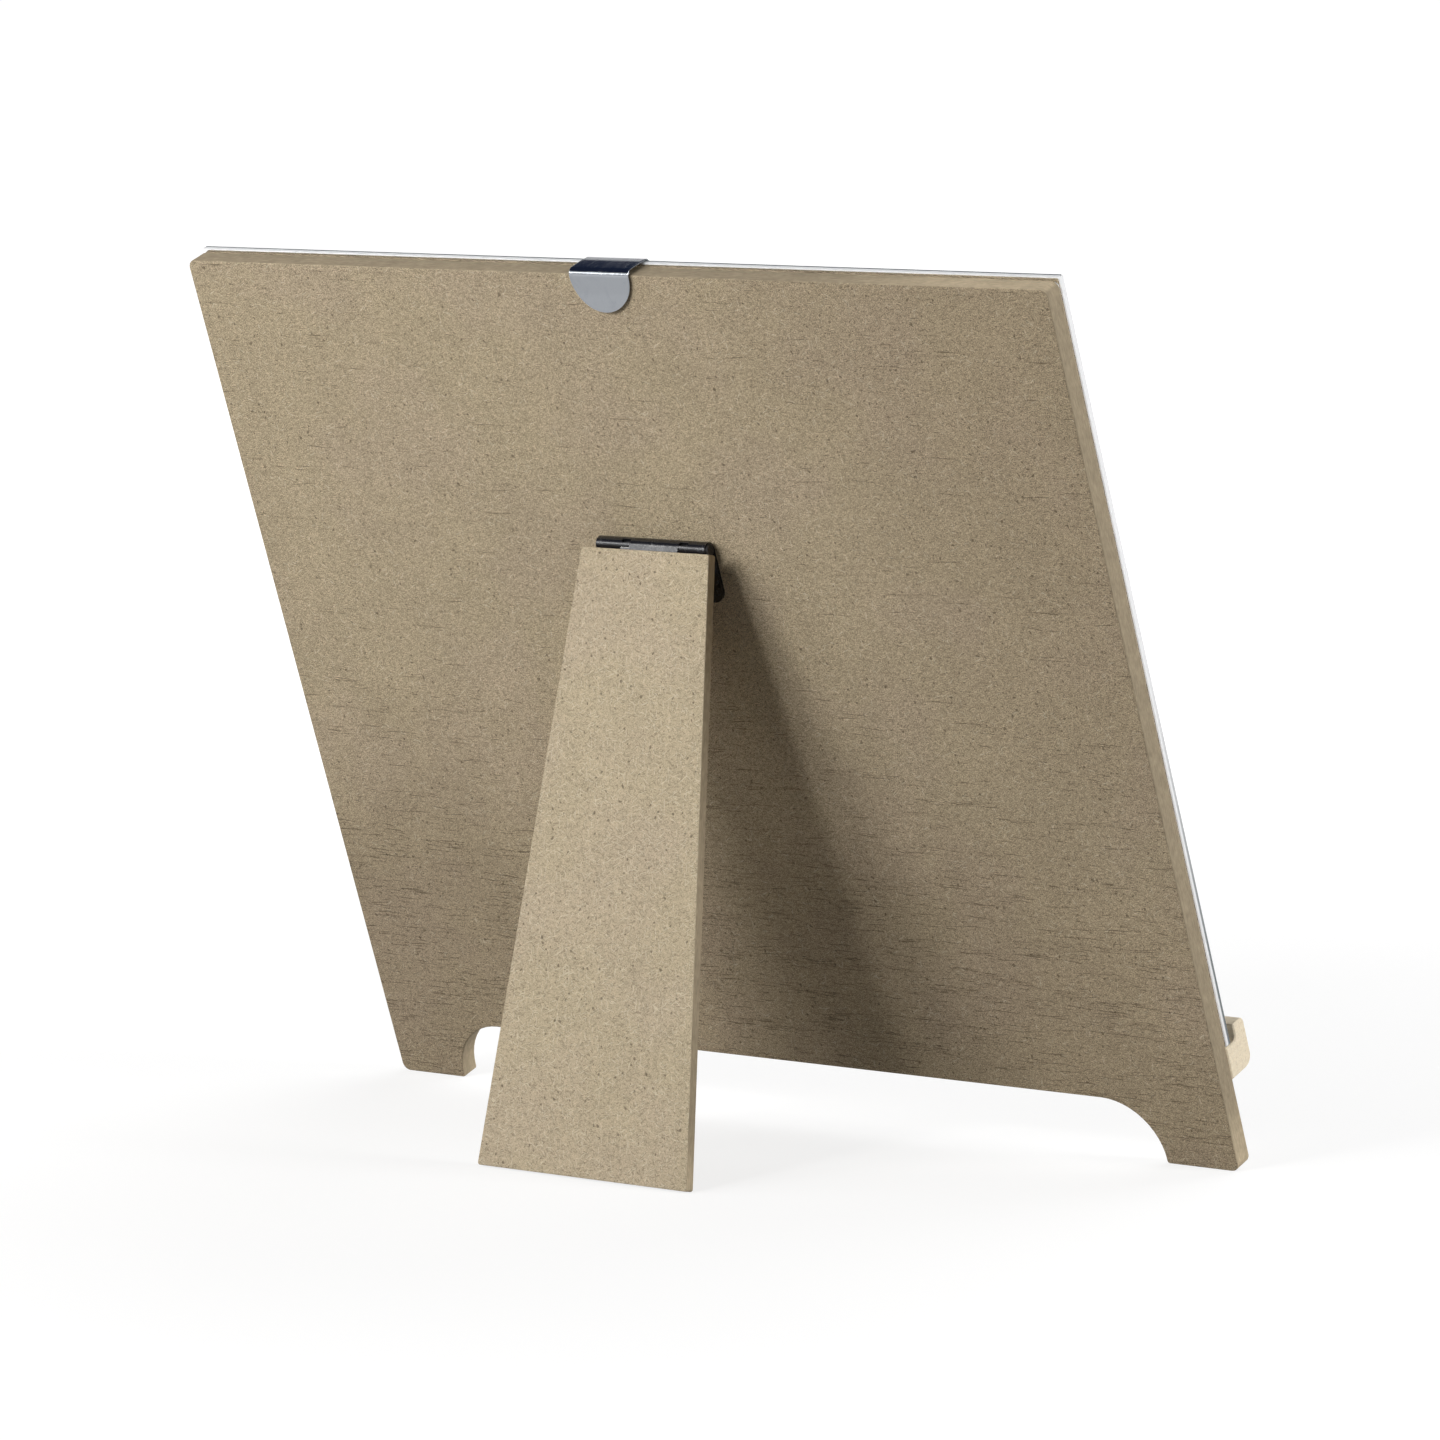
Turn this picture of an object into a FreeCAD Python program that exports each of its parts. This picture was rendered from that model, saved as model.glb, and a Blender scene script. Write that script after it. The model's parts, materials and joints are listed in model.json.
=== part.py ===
import FreeCAD, Part
import math
import os

Vector = FreeCAD.Vector

# Every size is in millimetres and every angle in degrees. The frame is drawn upright first:
# X runs across it, Y points out of its back and Z runs up the board, with the lower back
# edge of the board at zero. Then it is leaned back on its strut.

# Back board
board_width = 240.0
board_height = 211.0
board_thickness = 5.0
board_corner_radius = 2.0
board_edge_rounding = 0.4
foot_width = 19.0
foot_corner_radius = 0.6
arch_height = 15.0

# Stance
lean_angle = 18.8
open_angle = 30.6

# Ledge glued across the front
ledge_bottom = 20.5
ledge_height = 11.5
ledge_depth = 8.4
ledge_corner_radius = 1.2
groove_width = 4.2
groove_depth = 3.75
groove_corner_radius = 1.4

# Picture card and glass, standing in the groove
sheet_gap = 0.05
card_thickness = 0.2
card_inset = 0.6
card_corner_radius = 1.0
glass_thickness = 1.8
glass_rise = 0.6
glass_corner_radius = 1.5
glass_arris = 0.2

# Spring clip over the top edge
clip_width = 16.6
clip_offset = 0.9
clip_strip = 0.4
clip_back_gap = 0.3
clip_front_gap = 0.1
clip_top_gap = 0.1
clip_crown = 0.3
clip_back_bend_radius = 1.3
clip_bend_radius = 0.6
clip_tab_length = 8.7
clip_tab_corner = 6.5
clip_tab_lift = 0.25
clip_tab_bend_share = 0.5
clip_tab_bend_radius = 10.0
clip_hook_length = 4.2
clip_hook_corner = 2.0
clip_lip_length = 1.2
clip_lip_kick = 0.5
clip_lip_radius = 0.8

# Hinge between the board and the strut
hinge_height = 146.1
hinge_offset = 0.8
leaf_width = 30.6
leaf_length = 13.6
leaf_thickness = 0.75
leaf_corner_radius = 3.0
pin_radius = 1.0
pin_clearance = 0.05
pin_head_radius = 1.45
pin_head_thickness = 0.45
pin_head_bevel = 0.25
pin_end_play = 0.05
knuckle_lift = 0.15
middle_knuckle = 16.0
knuckle_side_gap = 0.15
knuckle_notch_gap = 0.35
curl_seam = 0.25
curl_seam_angle = 236.0

# Stop dogs at the knuckle ends, as angles round the pin in the open hinge
dog_length = 2.4
dog_play = 1.0
board_dog_start = 5.0
board_dog_end = 45.0
strut_dog_start = 75.0
strut_dog_end = 115.0

# Screws of the hinge leaves
screw_shank_radius = 0.9
screw_leaf_clearance = 0.1
screw_wood_clearance = 0.03
screw_head_radius = 1.7
screw_head_height = 0.85
screw_head_bevel = 0.5
screw_point_length = 0.8
screw_point_radius = 0.2
screw_recess_width = 0.4
screw_recess_length = 1.8
screw_recess_depth = 0.45
screw_spacing = 18.0
screw_drop = 8.2
board_screw_length = 3.8
strut_screw_length = 2.7
screw_hole_spare = 0.2

# Strut
strut_top_width = 35.9
strut_bottom_width = 59.3
strut_thickness = 2.5
strut_drop = 1.25
strut_corner_radius = 0.6
strut_edge_rounding = 0.25

# How far a cutting tool runs past the faces that it cuts, and the shortest edge worth drawing
overrun = 1.0
shortest_edge = 0.001

# Sizes that follow from those above
knuckle_radius = pin_radius + pin_clearance + leaf_thickness
bore_radius = pin_radius + pin_clearance
axis_height = knuckle_radius + knuckle_lift
board_front = -board_thickness
ledge_top = ledge_bottom + ledge_height
groove_floor = ledge_top - groove_depth
card_back = board_front - sheet_gap
glass_back = card_back - card_thickness - sheet_gap
glass_front = glass_back - glass_thickness
glass_top = board_height + glass_rise
strut_lean = open_angle - lean_angle
x_axis = Vector(1, 0, 0)
y_axis = Vector(0, 1, 0)


def across(a, b):
    return Vector(a, 0, b)


def sideways(a, b):
    return Vector(0, a, b)


def corner_arc(before, corner, after, radius):
    # Returns the arc that rounds one corner, with its two ends
    to_before = (before - corner).normalize()
    to_after = (after - corner).normalize()
    half = to_before.getAngle(to_after) / 2
    reach = radius / math.tan(half)
    start = corner + to_before * reach
    end = corner + to_after * reach
    middle = corner + (to_before + to_after).normalize() * (radius / math.sin(half) - radius)
    return Part.Arc(start, middle, end).toShape(), start, end


def rounded_outline(points, radii):
    # A closed outline through the points, each corner rounded by its own radius
    edges = []
    joints = []
    count = len(points)
    for i in range(count):
        if radii[i] > 0:
            arc, start, end = corner_arc(points[i - 1], points[i], points[(i + 1) % count], radii[i])
        else:
            arc, start, end = None, points[i], points[i]
        joints.append((arc, start, end))
    for i in range(count):
        arc, start, end = joints[i]
        following = joints[(i + 1) % count][1]
        if arc:
            edges.append(arc)
        if (following - end).Length > shortest_edge:
            edges.append(Part.LineSegment(end, following).toShape())
    return Part.Face(Part.Wire(edges))


def strip_outline(points, radii, thickness):
    # The section of a bent strip: the given line is its inner side, and the strip lies outside it
    outer = []
    outer_radii = []
    for i, point in enumerate(points):
        first = (points[i] - points[i - 1]).normalize() if i > 0 else None
        last = (points[i + 1] - points[i]).normalize() if i + 1 < len(points) else None
        first = first or last
        last = last or first
        normal_in = first.cross(x_axis)
        normal_out = last.cross(x_axis)
        outer.append(point + (normal_in + normal_out) * (thickness / (1 + normal_in.dot(normal_out))))
        wraps = first.cross(last).dot(x_axis) > 0
        outer_radii.append(radii[i] + thickness if wraps else radii[i] - thickness)
    ends = {0, len(points) - 1}
    outer_radii = [0 if i in ends else radius for i, radius in enumerate(outer_radii)]
    return rounded_outline(points + outer[::-1], radii + outer_radii[::-1])


def box(x_range, y_range, z_range):
    corner = Vector(x_range[0], y_range[0], z_range[0])
    size = Vector(x_range[1], y_range[1], z_range[1]) - corner
    return Part.makeBox(size.x, size.y, size.z, corner)


def rod(radius, length, start, direction):
    return Part.makeCylinder(radius, length, start, direction)


def edges_on_planes(solid, normal, levels):
    # The edges that lie in any of the planes square to the normal at the given levels
    found = []
    for edge in solid.Edges:
        heights = [vertex.Point.dot(normal) for vertex in edge.Vertexes]
        if any(all(abs(height - level) < shortest_edge for height in heights) for level in levels):
            found.append(edge)
    return found


def screw_places(centre):
    half = screw_spacing / 2
    return [centre - half, centre + half]


def back_board():
    half = board_width / 2
    inner = half - foot_width
    arch_radius = arch_height - foot_corner_radius
    points = [across(-half, 0), across(-half, board_height), across(half, board_height),
              across(half, 0), across(inner, 0), across(inner, arch_height),
              across(-inner, arch_height), across(-inner, 0)]
    corner = board_corner_radius
    foot = foot_corner_radius
    radii = [corner, corner, corner, corner, foot, arch_radius, arch_radius, foot]
    slab = rounded_outline(points, radii).extrude(y_axis * -board_thickness)
    slab = slab.makeFillet(board_edge_rounding, edges_on_planes(slab, y_axis, [0, board_front]))
    depth = board_screw_length - leaf_thickness + screw_hole_spare
    for x in screw_places(hinge_offset):
        start = Vector(x, overrun, hinge_height - screw_drop)
        slab = slab.cut(rod(screw_shank_radius + screw_wood_clearance, depth + overrun, start, -y_axis))
    return slab


def ledge():
    front = board_front - ledge_depth
    lip_back = board_front - groove_width
    round_edge = ledge_corner_radius
    points = [sideways(board_front, ledge_bottom), sideways(board_front, groove_floor),
              sideways(lip_back, groove_floor), sideways(lip_back, ledge_top),
              sideways(front, ledge_top), sideways(front, ledge_bottom)]
    lip_round = groove_corner_radius / 4
    radii = [0, 0, groove_corner_radius, lip_round, round_edge, round_edge]
    profile = rounded_outline(points, radii)
    profile.translate(x_axis * (-board_width / 2))
    return profile.extrude(x_axis * board_width)


def sheet(width, bottom, top, back, thickness, corner_radius):
    half = width / 2
    points = [across(-half, bottom), across(-half, top), across(half, top), across(half, bottom)]
    face = rounded_outline(points, [corner_radius] * len(points))
    face.translate(y_axis * back)
    return face.extrude(y_axis * -thickness)


def glass_pane():
    bottom = groove_floor + sheet_gap
    pane = sheet(board_width, bottom, glass_top, glass_back, glass_thickness, glass_corner_radius)
    return pane.makeChamfer(glass_arris, edges_on_planes(pane, y_axis, [glass_back, glass_front]))


def picture_card():
    width = board_width - card_inset * 2
    bottom = groove_floor + sheet_gap
    return sheet(width, bottom, board_height - card_inset, card_back, card_thickness, card_corner_radius)


def clip_blank(bottom, y_range, corner_radius):
    # The flat shape that a leg of the clip is blanked to, as a block with its lower corners rounded
    half = clip_width / 2
    top = glass_top + clip_tab_length
    points = [across(-half, bottom), across(-half, top), across(half, top), across(half, bottom)]
    face = rounded_outline(points, [corner_radius, 0, 0, corner_radius])
    face.translate(y_axis * y_range[0])
    return face.extrude(y_axis * (y_range[1] - y_range[0]))


def spring_clip():
    back = clip_back_gap
    front = glass_front - clip_front_gap
    saddle = glass_top + clip_top_gap
    tab_end = board_height - clip_tab_length
    tab_bend = board_height - clip_tab_length * clip_tab_bend_share
    hook_end = glass_top - clip_hook_length
    points = [sideways(back + clip_tab_lift, tab_end), sideways(back, tab_bend),
              sideways(back, saddle + clip_crown), sideways(front, saddle),
              sideways(front, hook_end + clip_lip_length), sideways(front - clip_lip_kick, hook_end)]
    radii = [0, clip_tab_bend_radius, clip_back_bend_radius, clip_bend_radius, clip_lip_radius, 0]
    section = strip_outline(points, radii, clip_strip)
    section.translate(x_axis * (-clip_width / 2))
    bent = section.extrude(x_axis * clip_width)
    middle = board_front / 2
    tab_blank = clip_blank(tab_end - clip_strip, (middle, back + overrun), clip_tab_corner)
    hook_blank = clip_blank(hook_end - clip_strip, (front - overrun, middle), clip_hook_corner)
    clip = bent.common(tab_blank.fuse(hook_blank)).removeSplitter()
    clip.translate(x_axis * -clip_offset)
    return clip


def eye(x_range):
    start = Vector(x_range[0], 0, 0)
    return rod(knuckle_radius, x_range[1] - x_range[0], start, x_axis)


def eye_sector(start_angle, end_angle, x_range, spare):
    # A stretch of the rolled wall between two angles round the pin
    def spoke(radius, angle):
        turn = math.radians(angle)
        return Vector(x_range[0], radius * math.cos(turn), radius * math.sin(turn))
    inner = bore_radius - spare
    outer = knuckle_radius + spare
    middle = (start_angle + end_angle) / 2
    edges = [Part.Arc(spoke(outer, start_angle), spoke(outer, middle), spoke(outer, end_angle)).toShape(),
             Part.LineSegment(spoke(outer, end_angle), spoke(inner, end_angle)).toShape(),
             Part.Arc(spoke(inner, end_angle), spoke(inner, middle), spoke(inner, start_angle)).toShape(),
             Part.LineSegment(spoke(inner, start_angle), spoke(outer, start_angle)).toShape()]
    return Part.Face(Part.Wire(edges)).extrude(x_axis * (x_range[1] - x_range[0]))


def seam_slot(x_range):
    # The narrow slit where the rolled end of the leaf stops short of its own plate
    half = curl_seam / 2
    slot = box(x_range, (bore_radius - overrun, knuckle_radius + overrun), (-half, half))
    return slot.rotate(Vector(0, 0, 0), x_axis, curl_seam_angle)


def leaf_plate():
    half = leaf_width / 2
    points = [across(-half, -leaf_length), across(-half, 0), across(half, 0), across(half, -leaf_length)]
    corner = leaf_corner_radius
    face = rounded_outline(points, [corner, 0, 0, corner])
    face.translate(y_axis * -axis_height)
    return face.extrude(y_axis * leaf_thickness)


def rolled_leaf(knuckles, gaps):
    # A leaf with its plate on the minus Y side of the pin: eyes over the knuckle ranges, and
    # the plate cut back over the gap ranges so that the other leaf's eyes can turn there
    leaf = leaf_plate()
    for x_range in gaps:
        notch_floor = -knuckle_radius - knuckle_notch_gap
        leaf = leaf.cut(box(x_range, (-axis_height - overrun, overrun), (notch_floor, overrun)))
    for x_range in knuckles:
        leaf = leaf.fuse(eye(x_range))
    leaf = leaf.cut(rod(bore_radius, leaf_width + overrun * 2, x_axis * (-leaf_width / 2 - overrun), x_axis))
    for x_range in knuckles:
        leaf = leaf.cut(seam_slot(x_range))
    for x in screw_places(0):
        start = Vector(x, -axis_height - overrun, -screw_drop)
        hole_radius = screw_shank_radius + screw_leaf_clearance
        leaf = leaf.cut(rod(hole_radius, leaf_thickness + overrun * 2, start, y_axis))
    return leaf.removeSplitter()


def hinge_board_leaf():
    half = leaf_width / 2
    middle = middle_knuckle / 2
    edge = middle + knuckle_side_gap
    leaf = rolled_leaf([(-half, -edge), (edge, half)], [(-edge, edge)])
    dog = eye_sector(board_dog_start, board_dog_end, (edge - dog_length, edge), 0)
    leaf = leaf.fuse(dog)
    recess_start = strut_dog_start - open_angle - dog_play
    recess = eye_sector(recess_start, strut_dog_end + dog_play,
                        (-middle - dog_length - knuckle_side_gap, -middle + overrun), overrun / 4)
    return leaf.cut(recess).removeSplitter()


def hinge_strut_leaf():
    # Drawn closed, with its plate on the strut side, and opened with the strut afterwards
    half = leaf_width / 2
    middle = middle_knuckle / 2
    edge = middle + knuckle_side_gap
    plate_gaps = [(-half - overrun, -middle), (middle, half + overrun)]
    leaf = rolled_leaf([(-middle, middle)], plate_gaps)
    leaf = leaf.mirror(Vector(0, 0, 0), y_axis)
    dog = eye_sector(strut_dog_start - open_angle, strut_dog_end - open_angle,
                     (-middle - dog_length, -middle), 0)
    leaf = leaf.fuse(dog)
    recess = eye_sector(board_dog_start - open_angle - dog_play, board_dog_end + dog_play,
                        (edge - dog_length - knuckle_side_gap, middle + overrun), overrun / 4)
    return leaf.cut(recess).removeSplitter()


def hinge_pin():
    half = leaf_width / 2 + pin_end_play
    pin = rod(pin_radius, half * 2, x_axis * -half, x_axis)
    for side in (-1, 1):
        head = rod(pin_head_radius, pin_head_thickness, x_axis * (half * side), x_axis * side)
        outer_level = half + pin_head_thickness
        head = head.makeChamfer(pin_head_bevel, edges_on_planes(head, x_axis * side, [outer_level]))
        pin = pin.fuse(head)
    return pin.removeSplitter()


def screw(length):
    # The underside of the head is at zero, and the shank runs down minus Y
    head = rod(screw_head_radius, screw_head_height, Vector(0, 0, 0), y_axis)
    head = head.makeChamfer(screw_head_bevel, edges_on_planes(head, y_axis, [screw_head_height]))
    straight = length - screw_point_length
    shank = rod(screw_shank_radius, straight, Vector(0, 0, 0), -y_axis)
    point = Part.makeCone(screw_shank_radius, screw_point_radius, screw_point_length,
                          y_axis * -straight, -y_axis)
    whole = head.fuse(shank).fuse(point)
    wide = screw_recess_length / 2
    narrow = screw_recess_width / 2
    depth = (screw_head_height - screw_recess_depth, screw_head_height + overrun)
    recess = box((-wide, wide), depth, (-narrow, narrow)).fuse(box((-narrow, narrow), depth, (-wide, wide)))
    return whole.cut(recess).removeSplitter()


def board_leaf_screws():
    screws = []
    for x in screw_places(hinge_offset):
        one = screw(board_screw_length)
        one.translate(Vector(x, leaf_thickness, hinge_height - screw_drop))
        screws.append(one)
    return Part.makeCompound(screws)


def strut_leaf_screws():
    # Drawn closed, under the strut leaf, with their heads towards the board
    screws = []
    for x in screw_places(hinge_offset):
        one = screw(strut_screw_length).mirror(Vector(0, 0, 0), y_axis)
        one.translate(Vector(x, axis_height * 2 - leaf_thickness, hinge_height - screw_drop))
        screws.append(one)
    return Part.makeCompound(screws)


def rounding_rise(radius, tilt):
    # How far a rounded lower edge stands above its sharp corner when the piece is tilted
    turn = math.radians(tilt)
    return radius * (math.cos(turn) + math.sin(turn) - 1)


def strut_length():
    # The length that sets the lower inner edge of the open strut on the same floor as the feet
    lean = math.radians(lean_angle)
    slope = math.radians(strut_lean)
    floor = rounding_rise(board_edge_rounding, lean_angle) - rounding_rise(strut_edge_rounding, strut_lean)
    above = hinge_height * math.cos(lean) - axis_height * math.sin(lean)
    return (above + axis_height * math.sin(slope) - floor) / math.cos(slope) - strut_drop


def strut():
    # Drawn closed, parallel to the board, with its inner face at twice the height of the pin
    inner = axis_height * 2
    top = hinge_height - strut_drop
    bottom = top - strut_length()
    points = [across(-strut_bottom_width / 2, bottom), across(-strut_top_width / 2, top),
              across(strut_top_width / 2, top), across(strut_bottom_width / 2, bottom)]
    face = rounded_outline(points, [strut_corner_radius] * len(points))
    face.translate(y_axis * inner)
    leg = face.extrude(y_axis * strut_thickness)
    leg = leg.makeFillet(strut_edge_rounding, edges_on_planes(leg, y_axis, [inner, inner + strut_thickness]))
    depth = strut_screw_length - leaf_thickness + screw_hole_spare
    for x in screw_places(hinge_offset):
        start = Vector(x, inner - overrun, hinge_height - screw_drop)
        leg = leg.cut(rod(screw_shank_radius + screw_wood_clearance, depth + overrun, start, y_axis))
    return leg


def at_hinge(shape):
    shape.translate(Vector(hinge_offset, axis_height, hinge_height))
    return shape


def opened(shape):
    return shape.rotate(Vector(0, axis_height, hinge_height), x_axis, open_angle)


def pieces():
    return {
        "back_board": back_board(),
        "ledge": ledge(),
        "glass_pane": glass_pane(),
        "picture_card": picture_card(),
        "spring_clip": spring_clip(),
        "hinge_board_leaf": at_hinge(hinge_board_leaf()),
        "hinge_pin": at_hinge(hinge_pin()),
        "board_leaf_screws": board_leaf_screws(),
        "hinge_strut_leaf": opened(at_hinge(hinge_strut_leaf())),
        "strut_leaf_screws": opened(strut_leaf_screws()),
        "strut": opened(strut()),
    }


def leaned(shape):
    return shape.rotate(Vector(0, 0, 0), x_axis, -lean_angle)


def main():
    os.makedirs("parts", exist_ok=True)
    shapes = {name: leaned(shape) for name, shape in pieces().items()}
    reach = Part.makeCompound(list(shapes.values())).optimalBoundingBox()
    to_origin = Vector(0, -(reach.YMin + reach.YMax) / 2, -reach.ZMin)
    for name, shape in shapes.items():
        shape.translate(to_origin)
        shape.exportStep("parts/" + name + ".step")
        print(name, "solids", len(shape.Solids), "valid", shape.isValid(), "volume", round(shape.Volume, 2))
    pin = Part.makeSphere(pin_radius, Vector(0, axis_height, hinge_height))
    centre = leaned(pin).CenterOfMass + to_origin
    print("pin centre", [round(value, 4) for value in centre])
    print("shift to the origin", [round(value, 4) for value in to_origin])
    print("reach", [round(value, 3) for value in (reach.XLength, reach.YLength, reach.ZLength)])


main()
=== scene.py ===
import json
import math

import bpy
from mathutils import Matrix, Quaternion, Vector


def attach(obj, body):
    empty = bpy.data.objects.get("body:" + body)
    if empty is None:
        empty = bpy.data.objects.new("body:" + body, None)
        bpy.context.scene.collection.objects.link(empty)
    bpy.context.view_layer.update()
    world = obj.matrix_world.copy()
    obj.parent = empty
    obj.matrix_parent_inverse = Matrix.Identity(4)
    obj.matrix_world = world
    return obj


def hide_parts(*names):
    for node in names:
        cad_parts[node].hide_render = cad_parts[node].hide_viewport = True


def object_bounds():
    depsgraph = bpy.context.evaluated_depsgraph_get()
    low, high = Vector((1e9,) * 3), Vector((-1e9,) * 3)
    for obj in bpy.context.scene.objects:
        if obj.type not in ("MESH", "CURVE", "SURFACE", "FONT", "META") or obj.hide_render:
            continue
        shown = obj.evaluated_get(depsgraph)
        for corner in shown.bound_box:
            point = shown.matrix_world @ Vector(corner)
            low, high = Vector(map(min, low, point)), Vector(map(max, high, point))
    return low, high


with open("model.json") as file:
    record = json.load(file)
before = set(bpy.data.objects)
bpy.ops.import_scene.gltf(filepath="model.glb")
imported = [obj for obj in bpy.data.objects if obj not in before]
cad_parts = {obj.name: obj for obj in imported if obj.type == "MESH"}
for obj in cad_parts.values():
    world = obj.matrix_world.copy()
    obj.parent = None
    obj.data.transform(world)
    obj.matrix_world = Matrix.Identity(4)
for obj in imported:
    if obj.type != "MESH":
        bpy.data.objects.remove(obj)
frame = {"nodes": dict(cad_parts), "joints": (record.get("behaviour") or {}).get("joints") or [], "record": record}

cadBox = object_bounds()
nodes = frame["nodes"]
print("frame loaded with", len(nodes), "nodes")

# The lean of the board and the tilt of the strut, read from the frame
footSole = next(m for m in frame["record"]["mounts"] if m["name"] == "right_foot_sole")
strutJoint = next(j for j in frame["joints"] if j["name"] == "strut_fold")
boardLean = math.atan2(-footSole["axis"][1], -footSole["axis"][2])
strutTilt = boardLean - math.radians(max(strutJoint["range_deg"]))


# Small helpers for node trees

def fillInputs(tree, node, inputs):
    # an input takes a plain value or another node's output
    for name, value in inputs.items():
        if isinstance(value, bpy.types.NodeSocket):
            tree.links.new(value, node.inputs[name])
        else:
            node.inputs[name].default_value = value
    return node


def addNode(tree, kind, inputs=None, **settings):
    node = tree.nodes.new("ShaderNode" + kind)
    for name, value in settings.items():
        setattr(node, name, value)
    return fillInputs(tree, node, inputs or {})


def calc(tree, operation, *values):
    return addNode(tree, "Math", dict(enumerate(values)), operation=operation).outputs[0]


def times(tree, first, second):
    return calc(tree, "MULTIPLY", first, second)


def strongest(tree, masks):
    whole = masks[0]
    for mask in masks[1:]:
        whole = calc(tree, "MAXIMUM", whole, mask)
    return whole


def vectorCalc(tree, operation, first, second=None, scale=None):
    inputs = {0: first, 1: second, "Scale": scale}
    inputs = {name: value for name, value in inputs.items() if value is not None}
    return addNode(tree, "VectorMath", inputs, operation=operation).outputs


def fade(tree, value, start, end, low=0.0, high=1.0):
    # a smooth step from low to high
    inputs = {0: value, 1: start, 2: end, 3: low, 4: high}
    return addNode(tree, "MapRange", inputs, interpolation_type="SMOOTHSTEP").outputs[0]


def mixColors(tree, share, first, second, kind="MIX"):
    inputs = {0: share, 6: first, 7: second}
    return addNode(tree, "Mix", inputs, data_type="RGBA", blend_type=kind).outputs[2]


def shadeColor(tree, color, by):
    return mixColors(tree, 1.0, color, by, "MULTIPLY")


def placed(tree, vector, turn=(0, 0, 0), scale=(1, 1, 1), shift=(0, 0, 0)):
    inputs = {"Vector": vector, "Location": shift, "Rotation": turn, "Scale": scale}
    return addNode(tree, "Mapping", inputs).outputs[0]


def noise(tree, vector, scale, detail=2.0, roughness=0.5, distortion=0.0):
    inputs = {"Vector": vector, "Scale": scale, "Detail": detail, "Roughness": roughness,
              "Distortion": distortion}
    return addNode(tree, "TexNoise", inputs).outputs["Fac"]


def voronoi(tree, vector, scale, dimensions="3D"):
    inputs = {"Vector": vector, "Scale": scale}
    return addNode(tree, "TexVoronoi", inputs, voronoi_dimensions=dimensions).outputs


def swayed(tree, place, scale, detail, reach, centre=0.0):
    # the place pushed about by a noise, so that what is drawn there isn't straight
    push = addNode(tree, "TexNoise", {"Vector": place, "Scale": scale, "Detail": detail}).outputs["Color"]
    if centre:
        push = vectorCalc(tree, "SUBTRACT", push, (centre, centre, centre))[0]
    return vectorCalc(tree, "ADD", place, vectorCalc(tree, "SCALE", push, scale=reach)[0])[0]


def parts(tree, vector):
    return addNode(tree, "SeparateXYZ", {0: vector}).outputs


def gray(level):
    return (level, level, level, 1)


def newGroup(name, inputs, outputs):
    tree = bpy.data.node_groups.new(name, "ShaderNodeTree")
    for label, value in inputs.items():
        kind = "Vector" if value is None else "Color" if isinstance(value, tuple) else "Float"
        socket = tree.interface.new_socket(name=label, in_out="INPUT", socket_type="NodeSocket" + kind)
        if value is not None:
            socket.default_value = value
    for label, kind in outputs.items():
        tree.interface.new_socket(name=label, in_out="OUTPUT", socket_type="NodeSocket" + kind)
    return tree, tree.nodes.new("NodeGroupInput").outputs, tree.nodes.new("NodeGroupOutput")


def useGroup(tree, group, inputs):
    return addNode(tree, "Group", inputs, node_tree=group).outputs


def newMaterial(name, constants):
    # the constants go straight onto the shader's own sockets
    material = bpy.data.materials.new(name)
    material.use_nodes = True
    shader = material.node_tree.nodes["Principled BSDF"]
    return material, material.node_tree, fillInputs(material.node_tree, shader, constants)


def bumpInto(tree, shader, height, depth):
    bump = addNode(tree, "Bump", {"Height": height, "Distance": depth, "Strength": 1.0})
    tree.links.new(bump.outputs[0], shader.inputs["Normal"])


def pieceSpace(tree, tilt, output="Object"):
    # the piece's own directions: x across, y out of the back, z up the piece
    return placed(tree, addNode(tree, "TexCoord").outputs[output], turn=(tilt, 0, 0))


# Small helpers for pieces

def wear(name, material):
    for place in nodes[name].material_slots:
        place.material = material


def boardPlaces(name):
    # the node's corners as the board sees them: across, out of the back, up
    turn = Matrix.Rotation(boardLean, 3, "X")
    return [turn @ corner.co for corner in nodes[name].data.vertices]


def spanOf(places):
    # lowest and highest corner
    return [[pick(place[i] for place in places) for i in range(3)] for pick in (min, max)]


def cornerArc(corner, before, after, radius, steps):
    # the arc that rounds a corner between two directions, as places with their right-hand directions
    turn = before.angle_signed(after)
    side = Vector((before[1], -before[0]))
    start = corner - before * (radius * math.tan(abs(turn) / 2))
    centre = start + math.copysign(radius, turn) * side
    spins = [Matrix.Rotation(-turn * step / steps, 2) for step in range(steps + 1)]
    return [(centre + spin @ (start - centre), spin @ side) for spin in spins]


def linkObject(name, data):
    thing = bpy.data.objects.new(name, data)
    bpy.context.scene.collection.objects.link(thing)
    return thing


def loftedPiece(name, rings, finishes, sharpAngle, flipped=False):
    # rings of places in the board's directions, joined by quads and capped at both ends
    count, last = len(rings[0]), len(rings[0]) * (len(rings) - 1)
    faces = [list(range(count)), [last + i for i in reversed(range(count))]]
    for base in range(0, last, count):
        for i in range(count):
            j = (i + 1) % count
            faces.append([base + i, base + count + i, base + count + j, base + j])
    if flipped:
        faces = [face[::-1] for face in faces]
    turnBack = Matrix.Rotation(-boardLean, 3, "X")
    mesh = bpy.data.meshes.new(name)
    mesh.from_pydata([turnBack @ Vector(place) for ring in rings for place in ring], [], faces)
    for finish in finishes:
        mesh.materials.append(finish)
    mesh.set_sharp_from_angle(angle=math.radians(sharpAngle))
    return linkObject(name, mesh)


# Effects that several materials share

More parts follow.
